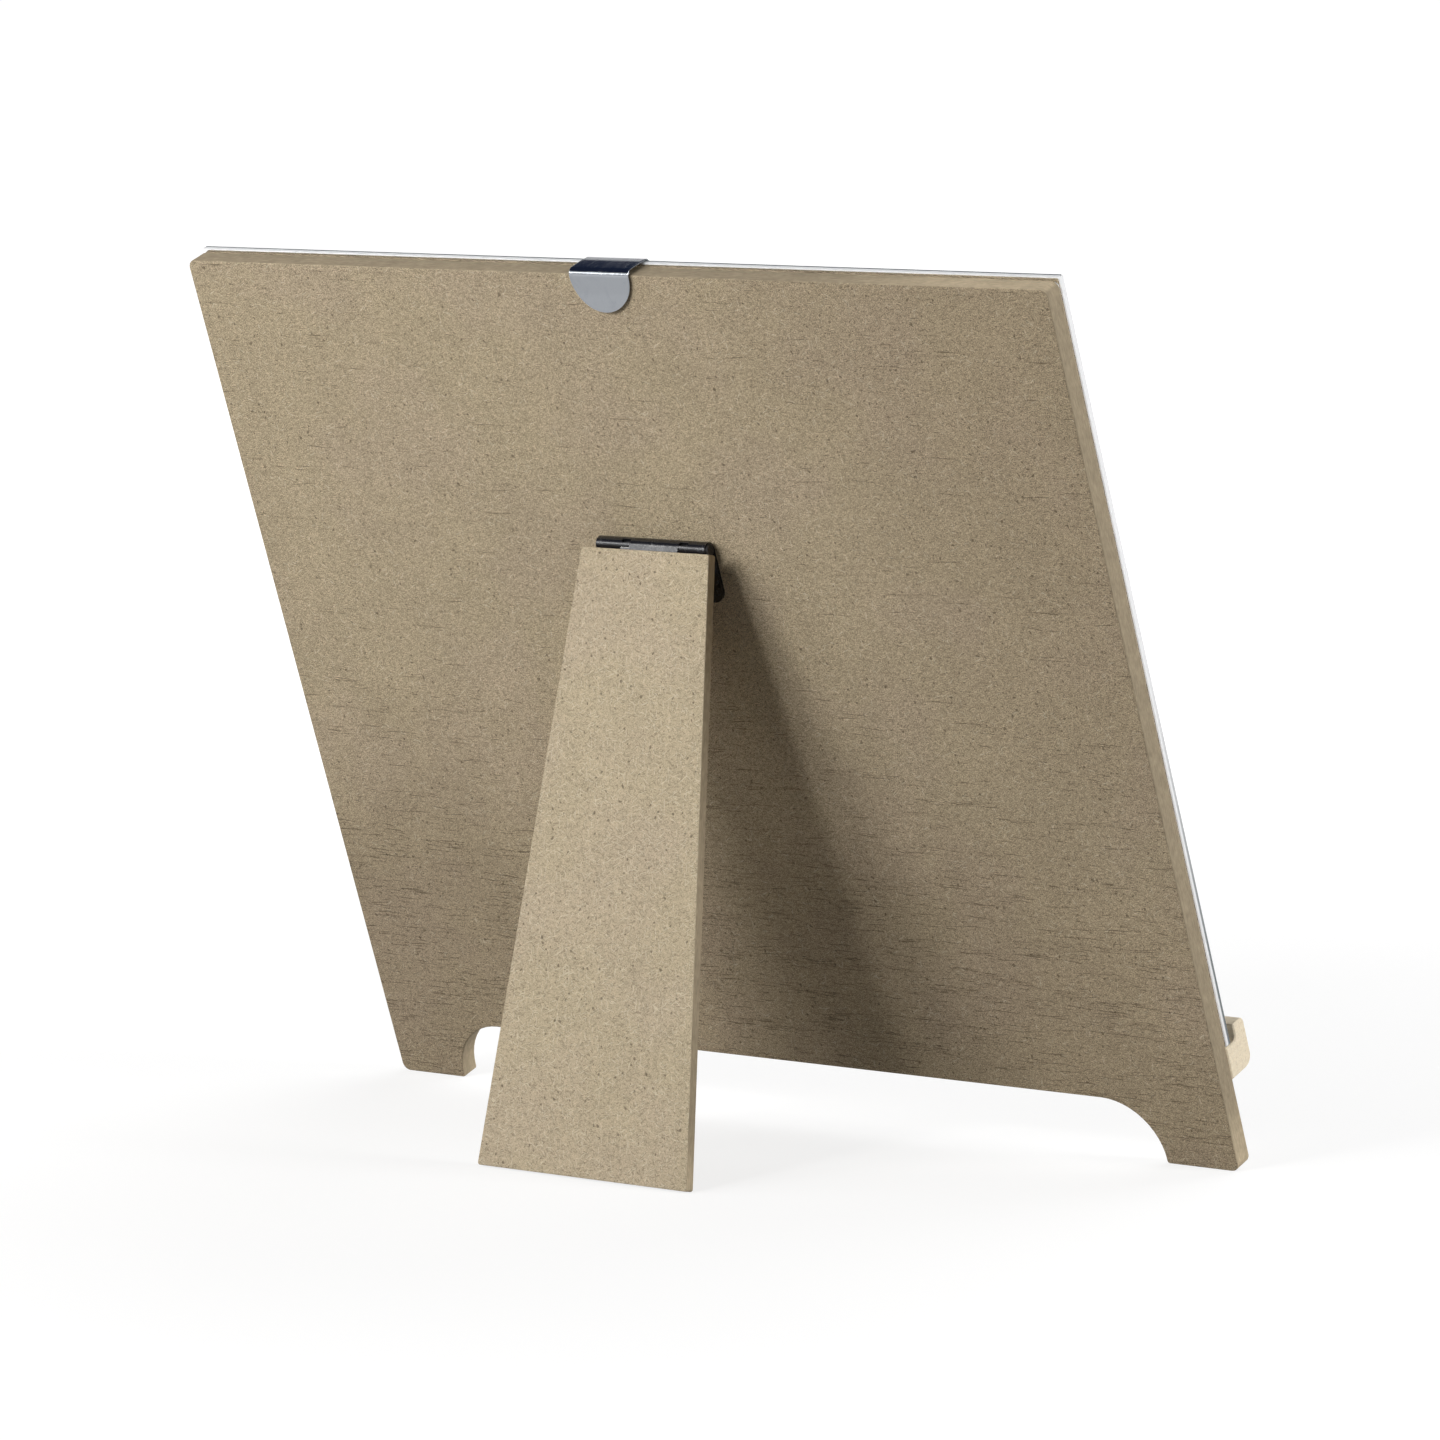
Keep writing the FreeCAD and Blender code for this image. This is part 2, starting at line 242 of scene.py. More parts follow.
pressedFibre = {
    "bend": {"scale": 520.0, "detail": 1.0, "reach": 0.0013, "centre": 0.5},    # hairs, fibres and specks
    "drift": {"scale": 110.0, "detail": 2.0, "reach": 0.0017},                  # dark flakes
    "fineScale": 3600.0,
    "fineShare": 1.25,
    "coarseScale": 1500.0,
    "coarseShare": 0.5,
    "cloudScale": 70.0,
    "cloudShare": 0.3,
    "tintScale": 38.0,
    "tints": ((1.0, 1.0, 0.985, 1), (1.005, 0.995, 1.015, 1)),
    "hairs": {"angles": (0.4, 1.5, 2.6), "length": 0.0036, "width": 0.0003},
    "hairTone": (0.80, 0.72, 0.54, 1),
    "hairStrength": 0.55,
    "fibres": {"angles": (0.05, -0.5, 0.9), "length": 0.0017, "width": 0.00032},
    "fibreTone": (0.14, 0.105, 0.065, 1),
    "fibreStrength": 0.42,
    "longFlakes": {"angles": (0.02, -0.03), "length": 0.017, "width": 0.00042},
    "shortFlakes": {"angles": (0.05,), "length": 0.007, "width": 0.00036},
    "frayScale": 900.0,         # the flakes break up in this noise
    "flakeTone": (0.11, 0.082, 0.05, 1),
    "flakeStrength": 0.72,
    "speckScale": 640.0,
    "speckSizes": (0.07, 0.2),
    "speckTone": (0.09, 0.065, 0.04, 1),
    "speckStrength": 0.6,
    "hairRise": 0.4,
    "darkSink": 0.35,
    "roughFrom": 0.93,
    "roughTo": 0.78,
}
scratchAngles = (0.1, 0.75, 1.6, 2.4)


def flecks(tree, place, share, angles, length, width):
    # thin flecks lying at a few angles: long, narrow cells of which only a share is filled
    layers = []
    for angle in angles:
        turned = placed(tree, place, turn=(0, 0, angle))
        apart = (angle * 37, angle * 91, 0)
        cells = voronoi(tree, placed(tree, turned, scale=(1 / length, 1 / width, 1), shift=apart), 1.0, "2D")
        pick = addNode(tree, "SeparateColor", {0: cells["Color"]}).outputs[2]
        body = fade(tree, cells["Distance"], 0.14, 0.36, 1.0, 0.0)
        layers.append(times(tree, body, calc(tree, "LESS_THAN", pick, share)))
    return strongest(tree, layers)


def makeFibreGroup(look):
    # pressed wood fibre: fine grain, soft clouds, short dark fibres, pale hairs, specks and dark flakes
    tree, given, result = newGroup("pressedFibre", {
        "Place": None, "Tone": (0.45, 0.37, 0.25, 1), "Grain": 1.0, "Clouds": 1.0,
        "Fibres": 0.3, "Hairs": 0.12, "Specks": 0.05, "Flakes": 0.1,
    }, {"Color": "Color", "Height": "Float", "Rough": "Float"})
    flat = placed(tree, given["Place"], turn=(math.pi / 2, 0, 0))
    bent = swayed(tree, flat, **look["bend"])
    drifting = swayed(tree, flat, **look["drift"])

    fine = noise(tree, flat, look["fineScale"], 1.0)
    coarse = noise(tree, placed(tree, flat, scale=(0.7, 1, 1)), look["coarseScale"], 2.0, 0.65)
    fine, coarse = times(tree, fine, look["fineShare"]), times(tree, coarse, look["coarseShare"])
    middle = (look["fineShare"] + look["coarseShare"]) / 2
    grain = calc(tree, "SUBTRACT", calc(tree, "ADD", fine, coarse), middle)
    grain = times(tree, grain, given["Grain"])
    clouds = calc(tree, "SUBTRACT", noise(tree, flat, look["cloudScale"], 5.0, 0.68), 0.5)
    clouds = times(tree, times(tree, clouds, given["Clouds"]), look["cloudShare"])
    light = calc(tree, "ADD", 1.0, calc(tree, "ADD", grain, clouds))
    tint = noise(tree, placed(tree, flat, shift=(0.31, 0.17, 0)), look["tintScale"], 3.0)
    tinted = mixColors(tree, fade(tree, tint, 0.42, 0.66), *look["tints"])
    color = shadeColor(tree, shadeColor(tree, given["Tone"], tinted), light)

    hairs = flecks(tree, bent, given["Hairs"], **look["hairs"])
    color = mixColors(tree, times(tree, hairs, look["hairStrength"]), color, look["hairTone"])
    fibres = flecks(tree, bent, given["Fibres"], **look["fibres"])
    color = mixColors(tree, times(tree, fibres, look["fibreStrength"]), color, look["fibreTone"])
    flakes = strongest(tree, [flecks(tree, drifting, given["Flakes"], **look[kind])
                              for kind in ("longFlakes", "shortFlakes")])
    frayed = noise(tree, placed(tree, flat, scale=(0.5, 1.4, 1)), look["frayScale"], 2.0, 0.6)
    flakes = times(tree, flakes, fade(tree, frayed, 0.36, 0.56, 0.25, 1.0))
    color = mixColors(tree, times(tree, flakes, look["flakeStrength"]), color, look["flakeTone"])
    specks = voronoi(tree, bent, look["speckScale"], "2D")
    pick = addNode(tree, "SeparateColor", {0: specks["Color"]}).outputs
    size = fade(tree, pick[1], 0.0, 1.0, *look["speckSizes"])
    dots = calc(tree, "LESS_THAN", specks["Distance"], size)
    dots = times(tree, dots, calc(tree, "LESS_THAN", pick[2], given["Specks"]))
    color = mixColors(tree, times(tree, dots, look["speckStrength"]), color, look["speckTone"])

    dark = strongest(tree, [dots, flakes, fibres])
    height = calc(tree, "ADD", grain, times(tree, hairs, look["hairRise"]))
    height = calc(tree, "SUBTRACT", height, times(tree, dark, look["darkSink"]))
    rough = fade(tree, grain, -0.5, 0.5, look["roughFrom"], look["roughTo"])
    fillInputs(tree, result, {"Color": color, "Height": height, "Rough": rough})
    return tree


def makeEdgeGroup():
    # a broken-up band along the sharp edges of a piece
    tree, given, result = newGroup("wornEdges", {
        "Place": None, "Width": 0.0004, "Patch Size": 300.0, "Amount": 1.0,
    }, {"Mask": "Float"})
    rounded = addNode(tree, "Bevel", {"Radius": given["Width"]}, samples=6).outputs[0]
    flat = addNode(tree, "NewGeometry").outputs["Normal"]
    edge = fade(tree, vectorCalc(tree, "DOT_PRODUCT", rounded, flat)["Value"], 0.99, 0.8)
    patches = fade(tree, noise(tree, given["Place"], given["Patch Size"], 3.0, 0.65), 0.38, 0.6)
    fillInputs(tree, result, {"Mask": times(tree, times(tree, edge, patches), given["Amount"])})
    return tree


def makeScratchGroup(angles):
    # hairline scratches from handling, lying at a few angles
    tree, given, result = newGroup("hairlines", {"Place": None, "Amount": 0.3}, {"Mask": "Float"})
    layers = []
    for angle in angles:
        turned = placed(tree, given["Place"], turn=(0, angle, 0))
        streak = noise(tree, placed(tree, turned, scale=(60, 60, 5200)), 1.0, 1.0)
        layers.append(fade(tree, streak, 0.66, 0.72))
    fillInputs(tree, result, {"Mask": times(tree, strongest(tree, layers), given["Amount"])})
    return tree


def makeMarksGroup():
    # soft smears where fingers and dust have left a film
    tree, given, result = newGroup("handlingMarks", {"Place": None, "Size": 60.0}, {"Mask": "Float"})
    wide = noise(tree, given["Place"], given["Size"], 3.0, 0.55, 0.8)
    dust = fade(tree, noise(tree, given["Place"], 2600.0, 1.0), 0.68, 0.74)
    mask = strongest(tree, [fade(tree, wide, 0.45, 0.75), times(tree, dust, 0.6)])
    fillInputs(tree, result, {"Mask": mask})
    return tree


fibreGroup = makeFibreGroup(pressedFibre)
edgeGroup = makeEdgeGroup()
scratchGroup = makeScratchGroup(scratchAngles)
marksGroup = makeMarksGroup()
print("shared effects ready")


# Raw fibreboard of the back board and the strut

backBoard = {
    "tone": (0.470, 0.383, 0.258, 1),
    "grain": 1.7,
    "clouds": 1.0,
    "fibres": 0.3,
    "hairs": 0.03,
    "specks": 0.12,
    "flakes": 0.012,
    "lowFlakes": 0.36,          # flakes crowd towards the lower end, and there the board is painted darker as painted shade
    "crowdScale": 110.0,
    "lowShadeTone": 0.79,
    "lowFrom": 0.105,
    "lowTo": 0.02,
    "lowPatchScale": 28.0,      # the border of that is uneven
    "lowPatchReach": 0.07,
    "lowSideShadeTone": 0.92,        # the painted shade is weaker at the right
    "lowSideFrom": -0.03,
    "lowSideTo": -0.11,
    "cornerShadeTone": 0.86,           # painted shade: the board is also painted darker towards its upper right corner
    "sideSlope": 0.35,
    "sideFrom": 0.041,
    "sideTo": 0.176,
    "sideUpFrom": 0.03,
    "sideUpTo": 0.09,
    "paintedShadeTint": (1.005, 0.985, 0.975, 1),  # the painted shade is a little redder
    "sawnTone": (0.355, 0.289, 0.196, 1),
    "layerScale": 900.0,
    "blotchScale": 420.0,
    "paintedFootLight": 1.55,           # painted light: the sawn edges are painted paler at the foot, for the light the floor bounces up, and they are paler at the right end of the top
    "footFrom": 0.007,
    "footTo": -0.010,
    "topTone": 1.0,
    "topEndTone": 1.55,
    "topEndFrom": -0.055,
    "topEndTo": -0.1,
    "wornTone": (0.60, 0.50, 0.35, 1),
    "wornStrength": 0.4,
    "edgeWidth": 0.0005,
    "bumpDepth": 0.0001,
}
strut = dict(backBoard, tone=(0.516, 0.427, 0.294, 1), grain=0.85, clouds=0.8, fibres=0.19, hairs=0.15,
             flakes=0.0, lowFlakes=0.0, lowShadeTone=1.0, lowSideShadeTone=1.0, cornerShadeTone=1.0, paintedShadeTint=(1, 1, 1, 1),
             topEndTone=1.06)


def fibreboard(name, look, tilt):
    material, tree, shader = newMaterial(name, {"Specular IOR Level": 0.25})
    place = pieceSpace(tree, tilt)
    spot = parts(tree, place)
    across, up = spot[0], spot[2]
    normal = parts(tree, pieceSpace(tree, tilt, "Normal"))
    face = fade(tree, calc(tree, "ABSOLUTE", normal[1]), 0.55, 0.85)

    # the lower end: flakes crowd there, and it is painted darker there as painted shade
    patch = calc(tree, "SUBTRACT", noise(tree, place, look["lowPatchScale"], 3.0), 0.5)
    border = calc(tree, "ADD", up, times(tree, patch, look["lowPatchReach"]))
    low = fade(tree, border, look["lowFrom"], look["lowTo"])
    crowd = noise(tree, placed(tree, place, scale=(0.35, 1, 2.6)), look["crowdScale"], 3.0)
    crowd = times(tree, low, fade(tree, crowd, 0.36, 0.7))
    flakes = calc(tree, "ADD", look["flakes"], times(tree, crowd, look["lowFlakes"] - look["flakes"]))
    fibre = useGroup(tree, fibreGroup, {
        "Place": place, "Tone": look["tone"], "Grain": look["grain"], "Clouds": look["clouds"],
        "Fibres": look["fibres"], "Hairs": look["hairs"], "Specks": look["specks"], "Flakes": flakes})

    # painted shade: darker towards the upper right corner
    shadedCorner = calc(tree, "SUBTRACT", times(tree, up, look["sideSlope"]), across)
    shadedCorner = times(tree, fade(tree, shadedCorner, look["sideFrom"], look["sideTo"]),
                   fade(tree, up, look["sideUpFrom"], look["sideUpTo"]))
    cornerShadeTone = fade(tree, shadedCorner, 0.0, 1.0, 1.0, look["cornerShadeTone"])
    # painted shade: the lower end painted darker, less so at the right
    lowShadeTone = fade(tree, across, look["lowSideFrom"], look["lowSideTo"],
                   look["lowShadeTone"], look["lowSideShadeTone"])
    # both painted shades together
    drift = times(tree, cornerShadeTone, fade(tree, low, 0.0, 1.0, 1.0, lowShadeTone))
    # the painted shade is tinted a little redder
    tint = mixColors(tree, calc(tree, "MAXIMUM", low, shadedCorner), gray(1.0), look["paintedShadeTint"])
    broad = shadeColor(tree, shadeColor(tree, fibre["Color"], drift), tint)

    layers = noise(tree, placed(tree, place, scale=(0.5, 3.0, 0.5)), look["layerScale"], 3.0, 0.6)
    blotch = fade(tree, noise(tree, place, look["blotchScale"], 4.0, 0.65), 0.3, 0.7, 0.92, 1.09)
    top = fade(tree, across, look["topEndFrom"], look["topEndTo"], look["topTone"], look["topEndTone"])
    top = fade(tree, normal[2], 0.5, 0.9, 1.0, top)
    # painted light: sawn edges paler towards the foot, where the floor's bounce falls
    footLight = fade(tree, up, look["footFrom"], look["footTo"], 1.0, look["paintedFootLight"])
    shades = times(tree, times(tree, fade(tree, layers, 0.2, 0.8, 0.82, 1.16), blotch),
                   calc(tree, "MAXIMUM", top, footLight))
    color = mixColors(tree, face, shadeColor(tree, look["sawnTone"], shades), broad)
    worn = useGroup(tree, edgeGroup, {"Place": place, "Width": look["edgeWidth"]})["Mask"]
    color = mixColors(tree, times(tree, worn, look["wornStrength"]), color, look["wornTone"])
    height = addNode(tree, "Mix", {0: face, 2: layers, 3: fibre["Height"]}).outputs[0]
    fillInputs(tree, shader, {"Base Color": color, "Roughness": fibre["Rough"]})
    bumpInto(tree, shader, height, look["bumpDepth"])
    return material


wear("back_board", fibreboard("rawFibreboard", backBoard, boardLean))
wear("strut", fibreboard("thinFibreboard", strut, strutTilt))
print("fibreboard done")


# Pale solid wood of the ledge

ledge = {
    "early": (0.93, 0.81, 0.61, 1),
    "late": (0.86, 0.71, 0.50, 1),
    "pore": (0.55, 0.41, 0.27, 1),
    "poreStrength": 0.45,
    "poreSink": 0.8,
    "mottleStrength": 0.3,              # on the sawn ends only
    "worn": (0.9, 0.82, 0.68, 1),
    "wornStrength": 0.4,
    "edgeWidth": 0.0007,
    "ringWidth": 0.0017,
    "ringSway": 2.2,
    "ringShare": 0.55,                  # how strongly the rings show along the rail, and on its sawn ends
    "endRingShare": 0.26,
    "heart": (0.0, -0.055, -0.03),      # where the rings are centred, from the frame's origin
    "roughFrom": 0.62,
    "roughTo": 0.5,
    "bumpDepth": 0.00005,
    "groove": (0.0042, 0.00375),        # width from the board, and depth
    "grooveCorner": 0.0014,
    "lipCorner": 0.00035,
    "frontCorner": 0.0012,
    "underCorner": 0.0028,
    "endBevel": 0.0003,
    "cornerSteps": 9,
}


def paleWood(look):
    material, tree, shader = newMaterial("paleWood", {"Specular IOR Level": 0.4})
    place = pieceSpace(tree, boardLean)
    sway = noise(tree, placed(tree, place, scale=(8, 60, 60)), 1.0, 2.0)
    spot = parts(tree, placed(tree, place, shift=[-c for c in look["heart"]]))
    out = calc(tree, "ADD", times(tree, spot[1], spot[1]), times(tree, spot[2], spot[2]))
    out = calc(tree, "SQRT", out)
    sway = times(tree, sway, look["ringSway"])
    ring = calc(tree, "FRACT", calc(tree, "ADD", calc(tree, "DIVIDE", out, look["ringWidth"]), sway))
    late = times(tree, fade(tree, ring, 0.35, 0.97), fade(tree, ring, 1.0, 0.96))
    endways = parts(tree, pieceSpace(tree, boardLean, "Normal"))[0]
    endFace = fade(tree, calc(tree, "ABSOLUTE", endways), 0.5, 0.9)
    late = times(tree, late, fade(tree, endFace, 0.0, 1.0, look["ringShare"], look["endRingShare"]))
    color = mixColors(tree, late, look["early"], look["late"])
    mottle = fade(tree, noise(tree, place, 1300.0, 3.0, 0.6), 0.54, 0.68, 0.0, look["mottleStrength"])
    color = mixColors(tree, times(tree, mottle, endFace), color, look["pore"])
    fine = noise(tree, placed(tree, place, scale=(45, 2600, 2600)), 1.0, 2.0)
    color = shadeColor(tree, color, fade(tree, fine, 0.2, 0.8, 0.93, 1.05))
    pores = voronoi(tree, placed(tree, place, scale=(260, 3300, 3300)), 1.0)
    hole = fade(tree, pores["Distance"], 0.14, 0.24, 1.0, 0.0)
    color = mixColors(tree, times(tree, hole, look["poreStrength"]), color, look["pore"])
    worn = useGroup(tree, edgeGroup, {"Place": place, "Width": look["edgeWidth"], "Amount": 0.6})["Mask"]
    color = mixColors(tree, times(tree, worn, look["wornStrength"]), color, look["worn"])
    rough = fade(tree, fine, 0.2, 0.8, look["roughFrom"], look["roughTo"])
    fillInputs(tree, shader, {"Base Color": color, "Roughness": rough})
    height = calc(tree, "SUBTRACT", fine, times(tree, hole, look["poreSink"]))
    bumpInto(tree, shader, height, look["bumpDepth"])
    return material


def roundedProfile(points, radii, steps):
    # a closed outline with its corners rounded
    outline = []
    for i, (corner, radius) in enumerate(zip(points, radii)):
        before = (corner - points[i - 1]).normalized()
        after = (points[(i + 1) % len(points)] - corner).normalized()
        arc = cornerArc(corner, before, after, radius, steps) if radius else [(corner,)]
        outline += [spot[0] for spot in arc]
    return outline


def insetProfile(outline, inset):
    # the same anticlockwise outline, drawn in by a little all round
    inner = []
    for i, corner in enumerate(outline):
        before = (corner - outline[i - 1]).normalized()
        after = (outline[(i + 1) % len(outline)] - corner).normalized()
        side = Vector((-before[1], before[0]))
        inward = Vector((side[0] - after[1], side[1] + after[0])).normalized()
        inner.append(corner + inward * inset / max(0.5, inward.dot(side)))
    return inner


def grooveRail(look):
    # the rail is extruded across the board, and its ends are eased
    low, high = spanOf(boardPlaces("ledge"))
    lip, grooveFloor = high[1] - look["groove"][0], high[2] - look["groove"][1]
    points = [Vector(p) for p in (
        (high[1], low[2]), (high[1], grooveFloor), (lip, grooveFloor), (lip, high[2]),
        (low[1], high[2]), (low[1], low[2]))]
    radii = [0, 0, look["grooveCorner"], look["lipCorner"], look["frontCorner"], look["underCorner"]]
    outline = roundedProfile(points, radii, look["cornerSteps"])
    bevel = look["endBevel"]
    eased = insetProfile(outline, bevel)
    stations = ((low[0], eased), (low[0] + bevel, outline), (high[0] - bevel, outline), (high[0], eased))
    rings = [[(x, *spot) for spot in ring] for x, ring in stations]
    piece = loftedPiece("grooveRail", rings, [paleWood(look)], 30, flipped=True)
    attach(piece, "frame")
    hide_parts("ledge")


grooveRail(ledge)
print("ledge done")


# Glass with ground edges, and the card behind it

pane = {
    "clear": (0.985, 0.995, 0.99, 1),
    "marked": gray(0.97),
    "polish": 0.015,
    "markedPolish": 0.045,
    "passes": 0.95,             # share of the lamps' light that each face lets through to the card
    "ground": (0.985, 0.99, 1.0, 1),
    "groundRough": 0.42,
    "groundFineRough": 0.336,
    "chip": gray(0.5),
    "chipStrength": 0.4,
    "paintedEdgeShade": (0.045, 0.065, 0.07, 1),    # painted shade: a dark line painted where the ground edge meets the front, where the rounded arris looks dark
    "edgeShadeWidth": 0.00056,
    "sideEdgeShadeWidth": 0.0009,
    "sideEdgeShadeFrom": 0.125,      # on the side edges it fades out towards the top
    "sideEdgeShadeTo": 0.03,
    "arris": 0.0002,            # the small bevel along every edge
    "corner": 0.0006,
    "cornerSteps": 10,
}
card = {
    "tone": (0.88, 0.875, 0.85, 1),
    "shade": (0.83, 0.82, 0.79, 1),
    "pulpScale": 900.0,
    "pulpShare": 0.8,
    "cloudScale": 18.0,
    "cloudShare": 0.2,
    "roughFrom": 0.7,
    "roughTo": 0.82,
    "bumpDepth": 0.00003,
}


def polishedGlass(look):
    material, tree, shader = newMaterial("polishedGlass", {
        "Transmission Weight": 1.0, "IOR": 1.52, "Metallic": 0.0})
    marks = useGroup(tree, marksGroup, {"Place": pieceSpace(tree, boardLean), "Size": 45.0})["Mask"]
    towardsLamp = addNode(tree, "LightPath").outputs["Is Shadow Ray"]
    fillInputs(tree, shader, {
        "Base Color": mixColors(tree, marks, look["clear"], look["marked"]),
        "Roughness": fade(tree, marks, 0.0, 1.0, look["polish"], look["markedPolish"]),
        "Alpha": calc(tree, "SUBTRACT", 1.0, times(tree, towardsLamp, look["passes"]))})
    return material


def groundGlass(look):
    # the cut edge: frosted by the grinding belt, with fine lines along it
    material, tree, shader = newMaterial("groundGlassEdge", {
        "Transmission Weight": 0.1, "IOR": 1.52, "Metallic": 0.0})
    place = pieceSpace(tree, boardLean)
    spot = parts(tree, place)
    belt = noise(tree, placed(tree, place, scale=(1, 16, 1)), 700.0, 3.0)
    chips = fade(tree, noise(tree, place, 1600.0, 2.0), 0.66, 0.74)
    color = shadeColor(tree, look["ground"], fade(tree, belt, 0.3, 0.7, 0.92, 1.04))
    color = mixColors(tree, times(tree, chips, look["chipStrength"]), color, look["chip"])

    # painted shade: a dark line along the front of the ground band, wider on the side edges, fading towards their
    # top
    front = spanOf(boardPlaces("glass_pane"))[0][1] + look["arris"]
    sideways = parts(tree, pieceSpace(tree, boardLean, "Normal"))[0]
    side = fade(tree, calc(tree, "ABSOLUTE", sideways), 0.3, 0.7)
    width = fade(tree, side, 0.0, 1.0, look["edgeShadeWidth"], look["sideEdgeShadeWidth"])
    depth = calc(tree, "DIVIDE", calc(tree, "SUBTRACT", spot[1], front), width)
    strength = calc(tree, "MAXIMUM", fade(tree, spot[2], look["sideEdgeShadeFrom"], look["sideEdgeShadeTo"]),
                    calc(tree, "SUBTRACT", 1.0, side))
    paintedEdgeShade = times(tree, fade(tree, depth, 1.0, 0.6), strength)
    fillInputs(tree, shader, {
        "Base Color": mixColors(tree, paintedEdgeShade, color, look["paintedEdgeShade"]),
        "Roughness": fade(tree, belt, 0.2, 0.8, look["groundFineRough"], look["groundRough"])})
    bumpInto(tree, shader, belt, 0.00001)
    return material


def cutPane(look):
    # two faces, a bevel on each side, and the ground band between them
    low, high = spanOf(boardPlaces("glass_pane"))
    steps, radius, arris = look["cornerSteps"], look["corner"], look["arris"]
    corners = ((high[0] - radius, high[2] - radius), (low[0] + radius, high[2] - radius),
               (low[0] + radius, low[2] + radius), (high[0] - radius, low[2] + radius))

    def ring(inset, depth):
        places = []
        for quarter, (x, z) in enumerate(corners):
            for step in range(steps + 1):
                turn = math.radians(90 * (quarter + step / steps))
                reach = radius - inset
                places.append((x + reach * math.cos(turn), depth, z + reach * math.sin(turn)))
        return places

    # known fault: from back to front these rings wind the faces inwards, which flipped=True would mend
    rings = [ring(arris, high[1]), ring(0.0, high[1] - arris),
             ring(0.0, low[1] + arris), ring(arris, low[1])]
    sheet = loftedPiece("cutGlassPane", rings, [polishedGlass(look), groundGlass(look)], 30)
    for face in sheet.data.polygons:
        face.material_index = 1 if len(face.vertices) == 4 else 0
    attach(sheet, "glazing")
    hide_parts("glass_pane")


def whiteCard(look):
    material, tree, shader = newMaterial("whiteCard", {"Specular IOR Level": 0.3})
    place = pieceSpace(tree, boardLean)
    pulp = noise(tree, place, look["pulpScale"], 4.0, 0.7)
    cloud = noise(tree, place, look["cloudScale"], 2.0)
    weight = calc(tree, "ADD", times(tree, pulp, look["pulpShare"]), times(tree, cloud, look["cloudShare"]))
    fillInputs(tree, shader, {
        "Base Color": mixColors(tree, fade(tree, weight, 0.35, 0.65), look["tone"], look["shade"]),
        "Roughness": fade(tree, pulp, 0.3, 0.7, look["roughFrom"], look["roughTo"])})
    bumpInto(tree, shader, pulp, look["bumpDepth"])
    return material


cutPane(pane)
wear("picture_card", whiteCard(card))
print("glass and card done")


# Bright spring steel of the clip

clip = {
    "plate": (0.30, 0.315, 0.335, 1),
    "shade": (0.26, 0.275, 0.30, 1),
    "smooth": 0.11,
    "marked": 0.26,
    "markSize": 240.0,
    "markStrength": 0.5,
    "scratches": 0.8,
    "rolledRise": 0.3,
    "bumpDepth": 0.000004,
    "strip": 0.00036,           # thickness of the steel
    "gap": 0.0001,              # between the strip and the glass
    "crown": 0.00025,           # rise of the bridge towards the back
    "slope": 0.0025,            # length of the bridge that slopes to the front
    "lift": 0.00025,            # how far the tab springs off the board
    "tabBendShare": 0.5,        # how far down the tab that starts
    "lip": 0.0012,
    "kick": 0.0005,
    "bends": (0.010, 0.0013, 0.008, 0.0006, 0.0008),   # radii: tab, back, bridge, front, lip
    "hookCorner": 0.002,
    "edge": 0.00008,
    "bendSteps": 12,
    "endSteps": 40,
    "endTurn": 88,              # degrees of the quarter round at which the tab's end is cut
}


def springSteel(look):
    material, tree, shader = newMaterial("springSteel", {"Metallic": 1.0})
    place = pieceSpace(tree, boardLean)
    marks = useGroup(tree, marksGroup, {"Place": place, "Size": look["markSize"]})["Mask"]
    marks = times(tree, marks, look["markStrength"])
    lines = useGroup(tree, scratchGroup, {"Place": place, "Amount": look["scratches"]})["Mask"]
    rolled = noise(tree, placed(tree, place, scale=(90, 90, 7000)), 1.0, 2.0)
    fillInputs(tree, shader, {
        "Base Color": mixColors(tree, marks, look["plate"], look["shade"]),
        "Roughness": fade(tree, calc(tree, "ADD", marks, lines), 0.0, 1.2, look["smooth"], look["marked"])})
    height = calc(tree, "SUBTRACT", times(tree, rolled, look["rolledRise"]), lines)
    bumpInto(tree, shader, height, look["bumpDepth"])
    return material


def bentLine(points, bends, steps):
    # the open line through the points with its corners rounded, as places with their outward directions
    runs = [(after - before).normalized() for before, after in zip(points, points[1:])]
    line = [(points[0], Vector((runs[0][1], -runs[0][0])))]
    for corner, before, after, bend in zip(points[1:], runs, runs[1:], bends):
        line += cornerArc(corner, before, after, bend, steps)
    return line + [(points[-1], Vector((runs[-1][1], -runs[-1][0])))]


def clipLine(look, corners, low, high):
    # the inner side of the strip, from the tab's end over board and glass to the front lip
    glassLow, glassHigh = spanOf(boardPlaces("glass_pane"))
    back = high[1] - look["strip"] - look["lift"]
    front = glassLow[1] - look["gap"]
    saddle = glassHigh[2] + look["gap"]
    hookEnd = min(corner[2] for corner in corners if corner[1] < front)
    boardTop = spanOf(boardPlaces("back_board"))[1][2]
    tabBend = boardTop - (boardTop - low[2]) * look["tabBendShare"]
    points = [Vector(p) for p in (
        (back + look["lift"], low[2]), (back, tabBend), (back, saddle + look["crown"]),
        (front + look["slope"], saddle + look["crown"]), (front, saddle),
        (front, hookEnd + look["lip"]), (front - look["kick"], hookEnd))]
    return bentLine(points, look["bends"], look["bendSteps"])


